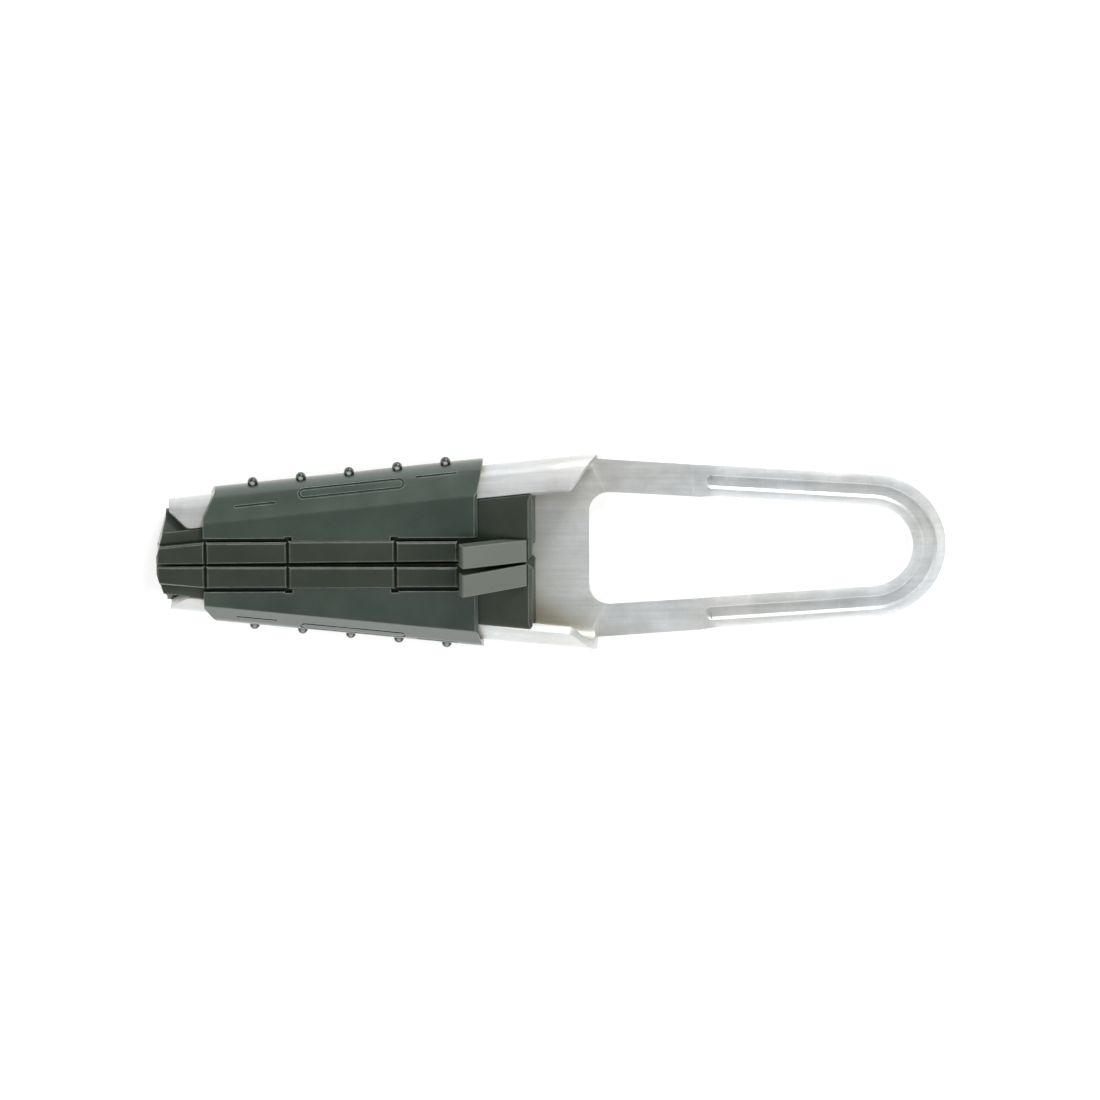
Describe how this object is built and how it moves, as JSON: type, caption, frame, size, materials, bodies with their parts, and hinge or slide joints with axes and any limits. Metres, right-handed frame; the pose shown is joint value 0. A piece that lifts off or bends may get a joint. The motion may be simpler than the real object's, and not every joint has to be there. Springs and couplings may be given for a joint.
{
  "type": "wedge strain clamp",
  "caption": "Strain clamp for insulated cable: a folded aluminium channel with a long bail, and two sliding moulded wedges with toothed jaws and slider covers.",
  "frame": {"origin": "centre of the bail's eye, level with the underside of the channel's floor", "axes": "+X away from the cable along the clamp, +Z out of the open side of the channel"},
  "size_m": [0.3149, 0.0828, 0.0312],
  "materials": {
    "pressed_aluminium": "mill finish sheet, lightly scuffed",
    "jaw_plastic": "dark olive glass-filled nylon, moulded",
    "cover_plastic": "dark bluish green nylon, satin moulded"
  },
  "bodies": {
    "body": {"clamp_body": "pressed_aluminium"},
    "wedge_left": {"jaw_left": "jaw_plastic", "slider_cover_left": "cover_plastic"},
    "wedge_right": {"jaw_right": "jaw_plastic", "slider_cover_right": "cover_plastic"}
  },
  "joints": [
    {"name": "wedge_left_slide", "type": "slide", "parent": "body", "child": "wedge_left", "axis": [0.9943, 0.1063, 0], "range_m": [-0.002, 0.045]},
    {"name": "wedge_right_slide", "type": "slide", "parent": "body", "child": "wedge_right", "axis": [0.9943, -0.1063, 0], "range_m": [-0.002, 0.045]}
  ]
}
